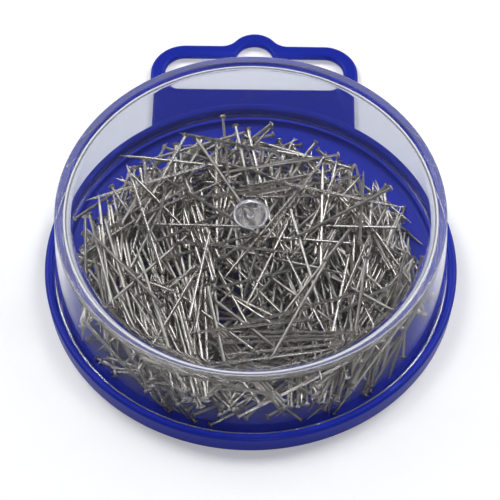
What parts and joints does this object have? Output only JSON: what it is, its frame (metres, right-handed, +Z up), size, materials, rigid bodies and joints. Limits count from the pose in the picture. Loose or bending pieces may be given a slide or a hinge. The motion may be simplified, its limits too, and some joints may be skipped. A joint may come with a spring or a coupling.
{
  "type": "pin box with straight pins",
  "caption": "Round box of straight pins: a clear drum lid that lifts off a blue tray with a slotted hang tab, with loose flat-headed steel pins inside.",
  "frame": {"origin": "on the tray's axis, at the flat underside that the box stands on", "axes": "+Z up along the tray's axis, the way the lid lifts; +Y towards the hang tab"},
  "size_m": [0.086, 0.1066, 0.0242],
  "materials": {
    "blue_polypropylene": "moulded, satin gloss",
    "clear_polystyrene": "moulded, clear and polished",
    "nickel_plated_steel": "bright nickel plate on drawn wire"
  },
  "bodies": {
    "tray": {"tray": "blue_polypropylene", "pin_01": "nickel_plated_steel", "pin_02": "nickel_plated_steel", "pin_03": "nickel_plated_steel", "pin_04": "nickel_plated_steel", "pin_05": "nickel_plated_steel", "pin_06": "nickel_plated_steel", "pin_07": "nickel_plated_steel", "pin_08": "nickel_plated_steel", "pin_09": "nickel_plated_steel", "pin_10": "nickel_plated_steel", "pin_11": "nickel_plated_steel", "pin_12": "nickel_plated_steel", "pin_13": "nickel_plated_steel", "pin_14": "nickel_plated_steel", "pin_15": "nickel_plated_steel", "pin_16": "nickel_plated_steel", "pin_17": "nickel_plated_steel", "pin_18": "nickel_plated_steel", "pin_19": "nickel_plated_steel", "pin_20": "nickel_plated_steel", "pin_21": "nickel_plated_steel", "pin_22": "nickel_plated_steel", "pin_23": "nickel_plated_steel", "pin_24": "nickel_plated_steel", "pin_25": "nickel_plated_steel", "pin_26": "nickel_plated_steel", "pin_27": "nickel_plated_steel", "pin_28": "nickel_plated_steel", "pin_29": "nickel_plated_steel", "pin_30": "nickel_plated_steel", "pin_31": "nickel_plated_steel", "pin_32": "nickel_plated_steel", "pin_33": "nickel_plated_steel", "pin_34": "nickel_plated_steel", "pin_35": "nickel_plated_steel", "pin_36": "nickel_plated_steel", "pin_37": "nickel_plated_steel", "pin_38": "nickel_plated_steel", "pin_39": "nickel_plated_steel", "pin_40": "nickel_plated_steel", "pin_41": "nickel_plated_steel", "pin_42": "nickel_plated_steel", "pin_43": "nickel_plated_steel", "pin_44": "nickel_plated_steel", "pin_45": "nickel_plated_steel", "pin_46": "nickel_plated_steel", "pin_47": "nickel_plated_steel", "pin_48": "nickel_plated_steel", "pin_49": "nickel_plated_steel", "pin_50": "nickel_plated_steel", "pin_51": "nickel_plated_steel", "pin_52": "nickel_plated_steel", "pin_53": "nickel_plated_steel", "pin_54": "nickel_plated_steel", "pin_55": "nickel_plated_steel", "pin_56": "nickel_plated_steel", "pin_57": "nickel_plated_steel", "pin_58": "nickel_plated_steel"},
    "lid": {"lid": "clear_polystyrene"}
  },
  "joints": [
    {"name": "lid_lift", "type": "slide", "parent": "tray", "child": "lid", "axis": [0, 0, 1], "range_m": [0, 0.04]}
  ]
}
